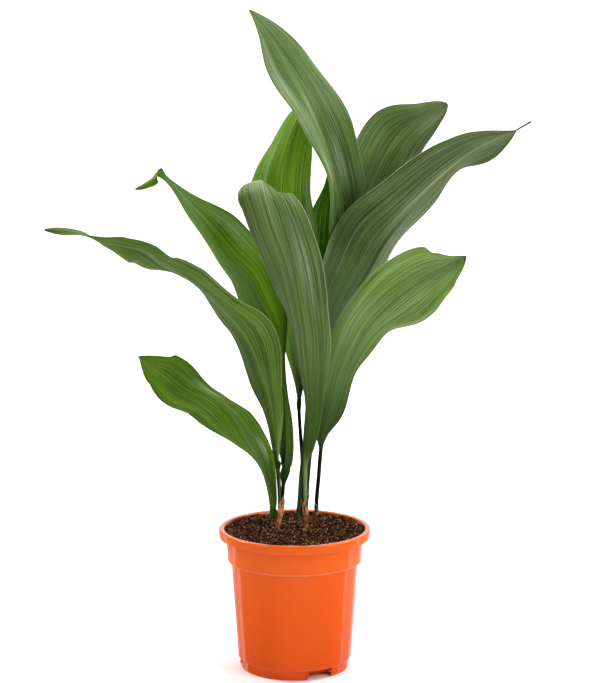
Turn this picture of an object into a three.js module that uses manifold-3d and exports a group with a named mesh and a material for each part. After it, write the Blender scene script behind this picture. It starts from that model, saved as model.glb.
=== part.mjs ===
// A cast iron plant in a round plastic nursery pot.
// Millimetres, +Z up, the pot's axis on Z and its foot on z = 0. The front faces -Y.

import * as THREE from 'three';
import { mergeVertices } from 'three/addons/utils/BufferGeometryUtils.js';
import Module from 'manifold-3d';

const wasm = await Module();
wasm.setup();

// Driving dimensions.
const CLEARANCE = 0.3;
const AROUND = 40;
const FOOT_RADIUS = 61.3;
const FOOT_WALL = 2;
const FOOT_HEIGHT = 11.5;
const RECESS_DEPTH = 3.9;
const FLOOR_TOP = 5.5;
const BODY_LOW_RADIUS = 64;
const BODY_TOP_RADIUS = 71.4;
const BODY_TOP = 122;
const COLLAR_LOW_RADIUS = 75.1;
const COLLAR_TOP_RADIUS = 77.5;
const WALL = 1.3;
const LIP_BOTTOM = 149.6;
const LIP_RADIUS = 85.2;
const RIM_TOP = 159;
const MOUTH_RADIUS = 79;
const NOTCH_WIDTH = 30;
const NOTCH_HEIGHT = 10;
const NOTCH_INNER_RADIUS = 51;
const NOTCH_ANGLES = [-62, 58, 178];
const DRAIN_RADIUS = 4;
const DRAIN_CIRCLE = 36;
const DRAIN_COUNT = 6;
const SOIL_EDGE = 157;
const SOIL_TOP = 158.6;
const RHIZOME_RADIUS = 7;
const RHIZOME_HEIGHT = 134;
const STEM_BOTTOM = RHIZOME_HEIGHT + RHIZOME_RADIUS + CLEARANCE;
const STEM_RADIUS = 2.1;
const BLADE_THICKNESS = 0.8;
const HALF_COLUMNS = 3;
const BLADE_ROWS = 25;
const STEM_ROWS = 5;
const BURIED_STATIONS = [0, 5, 12, 20];
const MIDRIB_TIP_RADIUS = 0.6;
const CROSS_BULGE = 0.06;

// Each leaf: its midrib from the rhizome to the tip, the point where the blade starts, half the
// greatest width, the two exponents that shape the outline, and how far the left and right halves
// lean toward the front, in degrees, at even steps from the blade's start to its tip.
// A wave is the height of the ripple along that margin, how many ripples, and where they begin.
const LEAVES = {
  leaf_top: {
    colour: 0x6f8f57,
    spine: [[10.5, 57, STEM_BOTTOM], [11, 58, 155], [12, 60, 211], [16, 62, 269], [26, 70, 349],
      [40, 84, 416], [53, 82, 468], [55, 78, 506], [49, 72, 539], [37, 58, 577], [18, 34, 626],
      [-4, 12, 667], [-26, -6, 703], [-49, -22, 732]],
    start: 5, half: 42, shape: [0.9, 0.8],
    left: [50, 55, 68, 76, 60, 40, 70], right: [-20, -30, -32, -32, -44, -48, -50],
    waveLeft: [2, 3, 0.1], waveRight: [2, 3.5, 0.4],
  },
  leaf_right_large: {
    colour: 0x66754f,
    spine: [[2, 30, STEM_BOTTOM], [2, 30, 158], [5, 34, 182], [7, 38, 212], [12, 42, 250],
      [20, 46, 295], [29, 50, 338], [40, 52, 366], [59, 54, 400], [82, 58, 435], [109, 64, 480],
      [156, 72, 531], [192, 78, 564], [216, 82, 580], [242, 84, 593], [255, 86, 601],
      [268, 88, 608]],
    start: 6, half: 60, shape: [0.75, 0.85], thread: 0.055, threadHalf: 1.3,
    left: [30, 15, 4, 4, 25, 30, 34, 39, 60], right: [-60, -68, -72, -72, -76, -70, -81, -30, -36],
    waveLeft: [2, 3, 0.6], waveRight: [2.5, 4, 0.2],
  },
  leaf_right_back: {
    colour: 0x577a3c,
    spine: [[12, 64, STEM_BOTTOM], [13, 66, 156], [16, 72, 208], [23, 80, 265], [35, 88, 334],
      [52, 94, 403], [66, 98, 458], [79, 100, 500], [92, 102, 538], [107, 103, 570],
      [127, 104, 597], [149, 104, 614], [174, 104, 627]],
    start: 6, half: 41, shape: [1.1, 0.7],
    left: [-20, -20, -16, -10, -4, 52, 50], right: [-20, -20, -20, -25, -34, -38, -30],
    waveLeft: [2.5, 3, 0.3], waveRight: [2, 3, 0.8],
  },
  leaf_left_back: {
    colour: 0x4e7a1c,
    spine: [[9, 51.5, STEM_BOTTOM], [9, 52, 159], [9, 54, 195], [8, 58, 229], [5, 62, 275],
      [4, 68, 309], [1, 75, 355], [-5, 80, 417], [-12, 82, 474], [-17, 83, 514], [-17, 84, 542],
      [-12, 85, 570], [-1, 90, 603], [19, 98, 640]],
    start: 4, half: 40, shape: [0.9, 0.7],
    left: [-80, -60, -50, -34, -24, -56, -60], right: [70, 46, 34, 14, 20, 0, 0],
    waveLeft: [1.5, 3, 0.5], waveRight: [2, 3, 0.1],
  },
  leaf_front: {
    colour: 0x6f8f55,
    spine: [[13, -2, STEM_BOTTOM], [13, -2, 156], [12, -6, 192], [12, -8, 226], [14, -12, 256],
      [15, -20, 302], [11, -28, 343], [7, -36, 387], [-1, -44, 431], [-10, -52, 468],
      [-23, -58, 505], [-32, -58, 535], [-36, -46, 549], [-37, -22, 550], [-38, 6, 542]],
    start: 3, half: 40, shape: [0.9, 0.6], facing: [1, 0, 0],
    left: [-70, -80, -72, -60, -44, -36, 0], right: [40, 46, 32, 24, 12, -36, -30],
    waveLeft: [1.5, 4, 0], waveRight: [2, 4, 0.3],
  },
  leaf_left_upper: {
    colour: 0x4f7a2a,
    spine: [[-19, -1, STEM_BOTTOM], [-18.5, -1, 157], [-15.5, 2, 173], [-14, 6, 186], [-13, 8, 203],
      [-10.5, 14, 231], [-10, 28, 264], [-12, 34, 298], [-16, 38, 337], [-23, 38, 377],
      [-37, 34, 407], [-52, 28, 436], [-75, 20, 461], [-95, 12, 491], [-112, 4, 516],
      [-134, -4, 548], [-148, -10, 558], [-155, -18, 551], [-172, -34, 541]],
    start: 4, half: 42, shape: [0.7, 0.8],
    left: [-88, -56, -35, -58, -68, -70, -40], right: [-48, -78, -82, -48, -8, 64, 105],
    waveLeft: [2, 4, 0.2], waveRight: [2, 4, 0.7],
  },
  leaf_left_long: {
    colour: 0x5a8034,
    spine: [[-19.5, 36, STEM_BOTTOM], [-17.2, 35, 161], [-17.2, 31, 188], [-19, 25, 218],
      [-20, 14, 243], [-22, 6, 269], [-26, -2, 299], [-35, -9, 331], [-50, -19, 370],
      [-62, -28, 391], [-84, -42, 418], [-108, -58, 442], [-122, -66, 452], [-143, -76, 465],
      [-159, -86, 479], [-181, -95, 487], [-201, -104, 492], [-223, -112, 502], [-244, -118, 506],
      [-260, -122, 507]],
    start: 3, half: 36, shape: [0.6, 0.8], stem: 2.4,
    left: [-60, -68, -56, -64, -76, -92, -42, -88, -124], right: [85, 76, 56, 20, 45, 50, 53, 66, 160],
    waveLeft: [2, 4, 0.5], waveRight: [1.5, 4, 0.1],
  },
  leaf_left_low: {
    colour: 0x4e7f1f,
    spine: [[-23, 43.5, STEM_BOTTOM], [-24, 44, 157], [-25, 43, 180], [-31, 41, 200],
      [-41, 34, 229], [-55, 26, 255], [-75, 16, 288], [-93, 4, 307], [-118, -8, 322],
      [-141, -20, 342], [-151, -33, 348], [-170, -48, 361]],
    start: 1, half: 40, shape: [0.84, 0.74], stem: 4.2,
    left: [-36, -86, -53, -30, -26, -3, -81], right: [76, 66, 48, 55, 63, 33, 18],
    waveLeft: [2.5, 3, 0.7], waveRight: [2, 3, 0.3],
  },
  leaf_right_low: {
    colour: 0x7fa050,
    spine: [[22, 62, STEM_BOTTOM], [25, 66, 160], [25, 64, 175], [27, 58, 200], [29, 48, 230],
      [32, 38, 258], [41, 30, 283], [47, 24, 308], [56, 16, 339], [69, 8, 369], [85, 0, 394],
      [110, -10, 420], [137, -22, 441], [162, -34, 456], [174, -50, 466], [183, -72, 474]],
    start: 4, half: 40, shape: [1.1, 0.6], stem: 2.4,
    left: [20, 24, 40, 32, 14, 12, 44], right: [-20, -34, -50, -42, -8, 38, 50],
    waveLeft: [2, 3, 0.4], waveRight: [2.5, 4, 0.6],
  },
  leaf_centre_back: {
    colour: 0x47721c,
    spine: [[6, 64, STEM_BOTTOM], [6, 68, 154], [9, 74, 207], [13, 80, 265], [20, 86, 346],
      [27, 88, 404], [29, 90, 450], [30, 92, 484], [33, 94, 512], [40, 96, 541], [48, 100, 575]],
    start: 4, half: 16, shape: [0.8, 0.8],
    left: [20, 20, 20, 20, 24, 60, 20], right: [-20, -20, -20, -20, -20, -20, -20],
    waveLeft: [1, 3, 0], waveRight: [1, 3, 0.5],
  },
};

// Dry sheaths: the leaf whose stem each one wraps, the stretch of that stem in millimetres above
// its bottom end, how far the torn top stands off the stem, and, at even steps from the bottom to
// the top, how far the sheath is turned to the left round the stem and how far it reaches round it
// to either side, in radians.
const SHEATHS = {
  sheath_left: {
    leaf: 'leaf_left_upper', from: 8, to: 58, flare: 2.4, turn: [0.7, 0.3, -0.2], reach: [0.9, 1.1, 1, 0.3],
    colour: 0xb5692f,
  },
  sheath_front: {
    leaf: 'leaf_front', from: 8, to: 55, flare: 1.8, turn: [0, 0.1, 0.35], reach: [0.7, 0.8, 1.4, 0.7],
    colour: 0xbe7d50,
  },
};
const SHEATH_WALL = 0.8;

// The creeping rhizome under the soil, as straight lengths in plan.
const RHIZOME = [
  [[-23, 43.5], [-19, 36]],
  [[-19, 36], [-19, -1]],
  [[-19, 36], [2, 30]],
  [[2, 30], [13, -2]],
  [[2, 30], [10, 54]],
  [[10, 54], [12, 64]],
  [[12, 64], [22, 62]],
  [[12, 64], [6, 64]],
];

// A smooth curve through the given values: position x runs from 0 to values.length - 1.
function through(values, x) {
  const last = values.length - 1;
  const span = Math.min(Math.floor(x), last - 1);
  const f = x - span;
  const b = values[span];
  const c = values[span + 1];
  const a = span > 0 ? values[span - 1] : 2 * b - c;
  const d = span + 2 <= last ? values[span + 2] : 2 * c - b;
  const bend = 2 * a - 5 * b + 4 * c - d;
  const twist = 3 * b - a - 3 * c + d;
  return 0.5 * (2 * b + (c - a) * f + bend * f * f + twist * f * f * f);
}

// The value at t from 0 to 1 through evenly spaced values.
function evenly(values, t) {
  return through(values, t * (values.length - 1));
}

// Points along a midrib with the distance walked to each of them.
function walk(spine) {
  const axes = [0, 1, 2].map((axis) => spine.map((point) => point[axis]));
  const points = [];
  const lengths = [];
  const steps = 60 * (spine.length - 1);
  for (let i = 0; i <= steps; i += 1) {
    const point = new THREE.Vector3(...axes.map((values) => through(values, i / 60)));
    lengths.push(i === 0 ? 0 : lengths[i - 1] + point.distanceTo(points[i - 1]));
    points.push(point);
  }
  return { points, lengths, total: lengths[steps] };
}

// The point at a distance along a walked midrib.
function pointAt(path, distance) {
  let i = 1;
  while (i < path.points.length - 1 && path.lengths[i] < distance) {
    i += 1;
  }
  const f = (distance - path.lengths[i - 1]) / (path.lengths[i] - path.lengths[i - 1]);
  return path.points[i - 1].clone().lerp(path.points[i], f);
}

// The midrib's point, its sideways direction and the direction its upper face looks.
function frameAt(path, distance, facing) {
  const step = 0.5;
  const point = pointAt(path, distance);
  const before = pointAt(path, Math.max(distance - step, 0));
  const after = pointAt(path, Math.min(distance + step, path.total));
  const along = after.sub(before).normalize();
  const side = facing
    ? new THREE.Vector3(...facing).addScaledVector(along, -along.dot(new THREE.Vector3(...facing)))
    : along.clone().cross(new THREE.Vector3(0, -1, 0));
  side.normalize();
  return { point, side, out: side.clone().cross(along) };
}

// Half the blade's width at t from the blade's start (0) to its tip (1).
function halfWidth(leaf, t) {
  const [rise, fall] = leaf.shape;
  const peak = rise / (rise + fall);
  const u = Math.min(t / (1 - (leaf.thread ?? 0)), 1);
  const blade = leaf.half * (u / peak) ** rise * ((1 - u) / (1 - peak)) ** fall;
  return Math.max(blade, (leaf.stem ?? 2) * Math.sqrt(1 - t), leaf.threadHalf ?? BLADE_THICKNESS);
}

// A closed sheet between two grids of points; both faces are split along the same diagonal.
function thickSheet(front, back) {
  const rows = front.length;
  const columns = front[0].length;
  const corners = [...front.flat(), ...back.flat()];
  const at = (i, j) => i * columns + j;
  const under = (i, j) => rows * columns + at(i, j);
  const triangles = [];
  for (let i = 0; i < rows - 1; i += 1) {
    for (let j = 0; j < columns - 1; j += 1) {
      triangles.push(at(i, j), at(i, j + 1), at(i + 1, j + 1));
      triangles.push(at(i, j), at(i + 1, j + 1), at(i + 1, j));
      triangles.push(under(i, j), under(i + 1, j + 1), under(i, j + 1));
      triangles.push(under(i, j), under(i + 1, j), under(i + 1, j + 1));
    }
    const last = columns - 1;
    triangles.push(at(i, 0), at(i + 1, 0), under(i + 1, 0));
    triangles.push(at(i, 0), under(i + 1, 0), under(i, 0));
    triangles.push(at(i, last), under(i + 1, last), at(i + 1, last));
    triangles.push(at(i, last), under(i, last), under(i + 1, last));
  }
  for (let j = 0; j < columns - 1; j += 1) {
    const top = rows - 1;
    triangles.push(at(0, j), under(0, j), under(0, j + 1));
    triangles.push(at(0, j), under(0, j + 1), at(0, j + 1));
    triangles.push(at(top, j), under(top, j + 1), under(top, j));
    triangles.push(at(top, j), at(top, j + 1), under(top, j + 1));
  }
  const geometry = new THREE.BufferGeometry();
  const numbers = corners.flatMap((corner) => corner.toArray());
  geometry.setAttribute('position', new THREE.Float32BufferAttribute(numbers, 3));
  geometry.setIndex(triangles);
  return geometry;
}

// The points of a round stem on its front and back, seen across the leaf from left to right.
function stemRow(frame, radius) {
  const columns = 2 * HALF_COLUMNS + 1;
  const row = { front: [], back: [] };
  for (let j = 0; j < columns; j += 1) {
    const angle = Math.PI * (1 - (j + 0.5) / columns);
    for (const [face, turn] of [['front', angle], ['back', -angle]]) {
      row[face].push(frame.point.clone()
        .addScaledVector(frame.side, radius * Math.cos(turn))
        .addScaledVector(frame.out, radius * Math.sin(turn)));
    }
  }
  return row;
}

// The points across the blade on its front and back at t from its start to its tip.
function bladeRow(leaf, frame, t) {
  const width = halfWidth(leaf, t);
  const swell = Math.sqrt(Math.sin(Math.PI * t));
  const ripple = (wave) => wave[0] * Math.sin(2 * Math.PI * (wave[1] * t + wave[2])) * swell;
  const settle = Math.min(t / 0.05, 1);
  const halves = [[-1, leaf.left, leaf.waveLeft], [1, leaf.right, leaf.waveRight]];
  const hands = halves.map(([hand, leans, wave]) => {
    const lean = THREE.MathUtils.degToRad(evenly(leans, t)) * settle;
    const turned = (along, out) => frame.side.clone().multiplyScalar(along).addScaledVector(frame.out, out);
    const outward = turned(hand * Math.cos(lean), Math.sin(lean));
    const normal = turned(-hand * Math.sin(lean), Math.cos(lean));
    return { outward, normal, wave: ripple(wave) };
  });
  const middle = hands[0].normal.clone().add(hands[1].normal).normalize();
  const rib = THREE.MathUtils.lerp(leaf.stem ?? STEM_RADIUS, MIDRIB_TIP_RADIUS, t ** 0.4);
  const row = { front: [], back: [] };
  for (let j = -HALF_COLUMNS; j <= HALF_COLUMNS; j += 1) {
    const { outward, normal, wave } = hands[j < 0 ? 0 : 1];
    const q = Math.abs(j) / HALF_COLUMNS;
    const height = CROSS_BULGE * width * 4 * q * (1 - q) + wave * q * q;
    const across = j === 0 ? middle : normal;
    const thick = j === 0 ? rib : BLADE_THICKNESS / 2;
    const centre = frame.point.clone().addScaledVector(outward, width * q).addScaledVector(normal, height);
    row.front.push(centre.clone().addScaledVector(across, thick));
    row.back.push(centre.clone().addScaledVector(across, -thick));
  }
  return row;
}

// Two rows mixed, from the first at 0 to the second at 1.
function mixRows(first, second, amount) {
  const mix = (face) => first[face].map((point, j) => point.clone().lerp(second[face][j], amount));
  return { front: mix('front'), back: mix('back') };
}

function sheetOfRows(rows) {
  return thickSheet(rows.map((row) => row.front), rows.map((row) => row.back));
}

// Distances up a stem: close together where it stands in the soil, then even up to the blade.
function stemStations(bladeStart) {
  const buried = BURIED_STATIONS.filter((distance) => distance < bladeStart - 2);
  const last = buried[buried.length - 1];
  if (bladeStart - last < 10) {
    return buried;
  }
  const free = [];
  for (let i = 1; i < STEM_ROWS; i += 1) {
    free.push(last + ((bladeStart - last) * i) / STEM_ROWS);
  }
  return [...buried, ...free];
}

// One leaf: a round stem from the rhizome that flattens into the blade.
function leafShape(leaf) {
  const path = walk(leaf.spine);
  const bladeStart = path.lengths[60 * leaf.start];
  const radius = leaf.stem ?? STEM_RADIUS;
  const stemAt = (distance) => stemRow(frameAt(path, distance, leaf.facing), radius);
  const rows = stemStations(bladeStart).map(stemAt);
  for (let i = 0; i <= BLADE_ROWS; i += 1) {
    const t = Math.min(i / BLADE_ROWS, 0.995);
    const frame = frameAt(path, bladeStart + t * (path.total - bladeStart), leaf.facing);
    rows.push(mixRows(stemRow(frame, radius), bladeRow(leaf, frame, t), Math.min(t / 0.06, 1)));
  }
  return sheetOfRows(rows);
}

// A round rod along the lowest stretch of a stem, for the hole it stands in.
function stemHole(leaf, radius) {
  const path = walk(leaf.spine);
  const rows = BURIED_STATIONS.map((distance) => {
    const frame = frameAt(path, distance, leaf.facing);
    frame.point.z -= distance === 0 ? 1 : 0;
    return stemRow(frame, radius / Math.cos(Math.PI / 14));
  });
  return sheetOfRows(rows);
}

// A dry sheath: a thin shell part of the way round a stem, narrowing to a torn tip.
function sheathShape(sheath) {
  const leaf = LEAVES[sheath.leaf];
  const path = walk(leaf.spine);
  const steps = 9;
  const rows = [];
  for (let i = 0; i <= steps; i += 1) {
    const t = i / steps;
    const frame = frameAt(path, THREE.MathUtils.lerp(sheath.from, sheath.to, t), leaf.facing);
    const inner = STEM_RADIUS + CLEARANCE + sheath.flare * t * t;
    const reach = evenly(sheath.reach, t);
    const row = { front: [], back: [] };
    for (let j = 0; j <= 8; j += 1) {
      const angle = Math.PI / 2 + evenly(sheath.turn, t) + reach * (1 - j / 4);
      for (const [face, radius] of [['front', inner + SHEATH_WALL], ['back', inner]]) {
        row[face].push(frame.point.clone()
          .addScaledVector(frame.side, radius * Math.cos(angle))
          .addScaledVector(frame.out, radius * Math.sin(angle)));
      }
    }
    rows.push(row);
  }
  return sheetOfRows(rows);
}

// A geometry made ready for joining and cutting.
function toSolid(geometry) {
  const plain = geometry.clone();
  plain.deleteAttribute('normal');
  plain.deleteAttribute('uv');
  const merged = mergeVertices(plain, 1e-4);
  const index = merged.index.array;
  const kept = [];
  for (let i = 0; i < index.length; i += 3) {
    const [a, b, c] = [index[i], index[i + 1], index[i + 2]];
    if (a !== b && b !== c && c !== a) {
      kept.push(a, b, c);
    }
  }
  return new wasm.Manifold(new wasm.Mesh({
    numProp: 3,
    vertProperties: new Float32Array(merged.attributes.position.array),
    triVerts: new Uint32Array(kept),
  }));
}

function toGeometry(solid) {
  const mesh = solid.getMesh();
  const geometry = new THREE.BufferGeometry();
  geometry.setAttribute('position', new THREE.Float32BufferAttribute(mesh.vertProperties, 3));
  geometry.setIndex(Array.from(mesh.triVerts));
  return geometry;
}

// A shape turned about Z from a profile of [radius, height] pairs.
function turned(profile) {
  const points = profile.map(([radius, height]) => new THREE.Vector2(radius, height));
  return new THREE.LatheGeometry(points, AROUND).rotateX(Math.PI / 2);
}

// A block pointing outward from the axis, between two radii and up to a height.
function footBlock(angle, width, innerRadius, bottom, top) {
  const length = FOOT_RADIUS + 3 - innerRadius;
  const block = new THREE.BoxGeometry(length, width, top - bottom);
  block.translate(innerRadius + length / 2, 0, (top + bottom) / 2);
  return block.rotateZ(THREE.MathUtils.degToRad(angle));
}

// The pocket that roofs each notch over, grown by a margin.
function notchPocket(angle, margin) {
  const inner = NOTCH_INNER_RADIUS - WALL - margin;
  const width = NOTCH_WIDTH + 2 * WALL + 2 * margin;
  return footBlock(angle, width, inner, FLOOR_TOP - 0.5, NOTCH_HEIGHT + WALL + margin);
}

// The pot: a raised floor, a notched foot, a tapering body, a collar and a turned-down lip.
function potShape() {
  const body = turned([
    [0, RECESS_DEPTH],
    [FOOT_RADIUS - FOOT_WALL - 0.4, RECESS_DEPTH],
    [FOOT_RADIUS - FOOT_WALL, RECESS_DEPTH - 0.5],
    [FOOT_RADIUS - FOOT_WALL, 0],
    [FOOT_RADIUS, 0],
    [FOOT_RADIUS + 0.2, FOOT_HEIGHT - 0.4],
    [BODY_LOW_RADIUS - 0.5, FOOT_HEIGHT],
    [BODY_LOW_RADIUS, FOOT_HEIGHT + 0.6],
    [BODY_TOP_RADIUS, BODY_TOP],
    [BODY_TOP_RADIUS + 0.5, BODY_TOP + 0.6],
    [COLLAR_LOW_RADIUS - 0.5, BODY_TOP + 0.8],
    [COLLAR_LOW_RADIUS, BODY_TOP + 1.5],
    [COLLAR_TOP_RADIUS, LIP_BOTTOM + 0.4],
    [COLLAR_TOP_RADIUS + 0.4, LIP_BOTTOM + 4.4],
    [COLLAR_TOP_RADIUS + 1.5, RIM_TOP - 2.4],
    [COLLAR_TOP_RADIUS + 3, RIM_TOP - 1.4],
    [LIP_RADIUS - WALL - 0.4, RIM_TOP - 1.4],
    [LIP_RADIUS - WALL, RIM_TOP - 1.9],
    [LIP_RADIUS - WALL, LIP_BOTTOM],
    [LIP_RADIUS - 0.4, LIP_BOTTOM],
    [LIP_RADIUS, LIP_BOTTOM + 0.5],
    [LIP_RADIUS, RIM_TOP - 1.5],
    [LIP_RADIUS - 0.6, RIM_TOP - 0.5],
    [LIP_RADIUS - 1.8, RIM_TOP],
    [MOUTH_RADIUS + 1.4, RIM_TOP],
    [MOUTH_RADIUS + 0.4, RIM_TOP - 0.4],
    [MOUTH_RADIUS, RIM_TOP - 1.1],
    [COLLAR_TOP_RADIUS - WALL + 0.7, LIP_BOTTOM + 5],
    [COLLAR_TOP_RADIUS - WALL, LIP_BOTTOM],
    [COLLAR_LOW_RADIUS - WALL, BODY_TOP + 2.8],
    [COLLAR_LOW_RADIUS - WALL - 0.5, BODY_TOP + 2.2],
    [BODY_TOP_RADIUS - WALL + 0.5, BODY_TOP + 2],
    [BODY_TOP_RADIUS - WALL, BODY_TOP + 1.2],
    [BODY_LOW_RADIUS - WALL, FOOT_HEIGHT + 1.9],
    [BODY_LOW_RADIUS - WALL - 0.5, FOOT_HEIGHT + 1.3],
    [FOOT_RADIUS - 0.9, FOOT_HEIGHT + 1],
    [FOOT_RADIUS - WALL, FOOT_HEIGHT + 0.4],
    [FOOT_RADIUS - WALL, FLOOR_TOP],
    [0, FLOOR_TOP],
  ]);
  let pot = toSolid(body);
  const withinFoot = toSolid(turned([
    [0, 0], [FOOT_RADIUS - 0.5, 0], [FOOT_RADIUS - 0.5, FOOT_HEIGHT], [0, FOOT_HEIGHT],
  ]));
  for (const angle of NOTCH_ANGLES) {
    pot = pot.add(toSolid(notchPocket(angle, 0)).intersect(withinFoot));
  }
  for (const angle of NOTCH_ANGLES) {
    pot = pot.subtract(toSolid(footBlock(angle, NOTCH_WIDTH, NOTCH_INNER_RADIUS, -2, NOTCH_HEIGHT)));
  }
  for (let i = 0; i < DRAIN_COUNT; i += 1) {
    const angle = (i / DRAIN_COUNT) * 2 * Math.PI;
    const drain = new THREE.CylinderGeometry(DRAIN_RADIUS, DRAIN_RADIUS, 6, 16).rotateX(Math.PI / 2);
    drain.translate(DRAIN_CIRCLE * Math.cos(angle), DRAIN_CIRCLE * Math.sin(angle), FLOOR_TOP - 1);
    pot = pot.subtract(toSolid(drain));
  }
  return toGeometry(pot);
}

// The rhizome's lengths joined into one branched piece.
function rhizomeSolid(radius) {
  const up = new THREE.Vector3(0, 1, 0);
  let whole = null;
  for (const [from, to] of RHIZOME) {
    const start = new THREE.Vector3(...from, RHIZOME_HEIGHT);
    const end = new THREE.Vector3(...to, RHIZOME_HEIGHT);
    const length = new THREE.CapsuleGeometry(radius, start.distanceTo(end), 3, 10);
    const turn = new THREE.Quaternion().setFromUnitVectors(up, end.clone().sub(start).normalize());
    length.applyQuaternion(turn);
    length.translate(...start.lerp(end, 0.5).toArray());
    whole = whole ? whole.add(toSolid(length)) : toSolid(length);
  }
  return whole;
}

// The soil: it fills the pot below the rim, with plain holes where stems, sheaths and rhizome stand.
function soilShape() {
  const gap = CLEARANCE;
  let soil = toSolid(turned([
    [0, FLOOR_TOP + gap],
    [FOOT_RADIUS - WALL - gap, FLOOR_TOP + gap],
    [FOOT_RADIUS - WALL - gap, FOOT_HEIGHT + 0.7],
    [FOOT_RADIUS - 1.1, FOOT_HEIGHT + 1.4],
    [BODY_LOW_RADIUS - WALL - 0.8, FOOT_HEIGHT + 1.8],
    [BODY_LOW_RADIUS - WALL - gap, FOOT_HEIGHT + 2.3],
    [BODY_TOP_RADIUS - WALL - gap, BODY_TOP + 1.5],
    [BODY_TOP_RADIUS - WALL + 0.2, BODY_TOP + 2.4],
    [COLLAR_LOW_RADIUS - WALL - 0.8, BODY_TOP + 2.6],
    [COLLAR_LOW_RADIUS - WALL - gap, BODY_TOP + 3.2],
    [COLLAR_TOP_RADIUS - WALL - gap, LIP_BOTTOM],
    [COLLAR_TOP_RADIUS - WALL + 0.3, LIP_BOTTOM + 5.2],
    [MOUTH_RADIUS - 1.3, SOIL_EDGE - 0.4],
    [MOUTH_RADIUS - 2, SOIL_EDGE],
    [MOUTH_RADIUS - 6, SOIL_EDGE + 0.6],
    [MOUTH_RADIUS - 26, SOIL_TOP - 0.4],
    [0, SOIL_TOP],
  ]));
  for (const angle of NOTCH_ANGLES) {
    soil = soil.subtract(toSolid(notchPocket(angle, gap)));
  }
  const wrapped = Object.values(SHEATHS).map((sheath) => sheath.leaf);
  soil = soil.subtract(rhizomeSolid(RHIZOME_RADIUS + gap));
  for (const [name, leaf] of Object.entries(LEAVES)) {
    const stem = leaf.stem ?? STEM_RADIUS;
    const sleeve = wrapped.includes(name) ? SHEATH_WALL + gap + 0.5 : 0;
    soil = soil.subtract(toSolid(stemHole(leaf, stem + sleeve + gap)));
  }
  return toGeometry(soil);
}

const plant = new THREE.Group();
plant.name = 'potted_cast_iron_plant';

function addPiece(name, geometry, colour, roughness) {
  const material = new THREE.MeshStandardMaterial({ color: colour, roughness, metalness: 0 });
  material.name = `${name}_material`;
  const mesh = new THREE.Mesh(geometry, material);
  mesh.name = name;
  plant.add(mesh);
}

addPiece('pot', potShape(), 0xeb6122, 0.35);
addPiece('soil', soilShape(), 0x3a2a1e, 0.95);
addPiece('rhizome', toGeometry(rhizomeSolid(RHIZOME_RADIUS)), 0x9a7a55, 0.85);
for (const [name, leaf] of Object.entries(LEAVES)) {
  addPiece(name, leafShape(leaf), leaf.colour, 0.5);
}
for (const [name, sheath] of Object.entries(SHEATHS)) {
  addPiece(name, sheathShape(sheath), sheath.colour, 0.8);
}

export default plant;
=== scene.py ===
"""A cast iron plant in a round plastic nursery pot.

Metres, +Z up, the pot's axis on Z and its foot on the floor. Sizes below are in millimetres.
"""
import math

import bpy
import numpy as np
from mathutils import Matrix, Vector, noise


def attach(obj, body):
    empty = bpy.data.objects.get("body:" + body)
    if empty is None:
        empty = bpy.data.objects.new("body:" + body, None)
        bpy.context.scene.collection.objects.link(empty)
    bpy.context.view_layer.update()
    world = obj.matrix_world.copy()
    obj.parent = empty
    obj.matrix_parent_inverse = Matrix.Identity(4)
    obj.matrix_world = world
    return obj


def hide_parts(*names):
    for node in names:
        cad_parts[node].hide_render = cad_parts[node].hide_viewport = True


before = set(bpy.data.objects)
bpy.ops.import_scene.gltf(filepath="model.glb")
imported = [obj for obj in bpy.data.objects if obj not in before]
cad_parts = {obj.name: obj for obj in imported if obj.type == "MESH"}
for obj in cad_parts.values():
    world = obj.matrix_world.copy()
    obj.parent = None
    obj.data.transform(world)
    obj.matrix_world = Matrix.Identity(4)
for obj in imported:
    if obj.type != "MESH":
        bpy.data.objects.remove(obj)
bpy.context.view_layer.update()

MM = 0.001


def new_object(name, data):
    """An object in the scene's own collection."""
    made = bpy.data.objects.new(name, data)
    bpy.context.scene.collection.objects.link(made)
    return made


def mesh_object(name, points, faces, material=None):
    """An object with a new mesh, in metres; one with a material is shaded smooth."""
    mesh = bpy.data.meshes.new(name)
    mesh.from_pydata(points, [], faces)
    if material:
        mesh.materials.append(material)
        mesh.polygons.foreach_set("use_smooth", [True] * len(mesh.polygons))
    mesh.update()
    return new_object(name, mesh)


# Camera, in the photograph's place: 2.2 m in front, level with the plant's top and looking down 9 degrees.

CAMERA_PLACE = (5.9, -2200.0, 727.5)
CAMERA_PITCH = 9.23
CAMERA_LENS = 106.26


def place_camera():
    camera = bpy.data.cameras.new("camera")
    camera.lens = CAMERA_LENS
    camera.sensor_width = 36.0
    camera.clip_end = 20.0
    holder = new_object("camera", camera)
    holder.location = [MM * value for value in CAMERA_PLACE]
    holder.rotation_euler = (math.radians(90.0 - CAMERA_PITCH), 0.0, 0.0)
    bpy.context.scene.camera = holder


place_camera()


# Materials.

def colour(code):
    """Linear colour of an sRGB hex value."""
    channels = [((code >> shift) & 255) / 255.0 for shift in (16, 8, 0)]
    linear = [c / 12.92 if c <= 0.04045 else ((c + 0.055) / 1.055) ** 2.4 for c in channels]
    return (*linear, 1.0)


def add_node(tree, kind, inputs=None, stops=(), **settings):
    """Adds a node; an input given as another node's output is linked, any other is set.

    Stops are a ramp's (place, tone) pairs, where a tone is a hex colour or a grey level.
    """
    node = tree.nodes.new(kind)
    for name, value in settings.items():
        setattr(node, name, value)
    if stops:
        elements = node.color_ramp.elements
        while len(elements) < len(stops):
            elements.new(0.5)
        for element, (place, tone) in zip(elements, stops):
            element.position = place
            element.color = colour(tone) if isinstance(tone, int) else (tone, tone, tone, 1.0)
    for key, value in (inputs or {}).items():
        if isinstance(value, bpy.types.NodeSocket):
            tree.links.new(value, node.inputs[key])
        else:
            node.inputs[key].default_value = value
    return node


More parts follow.
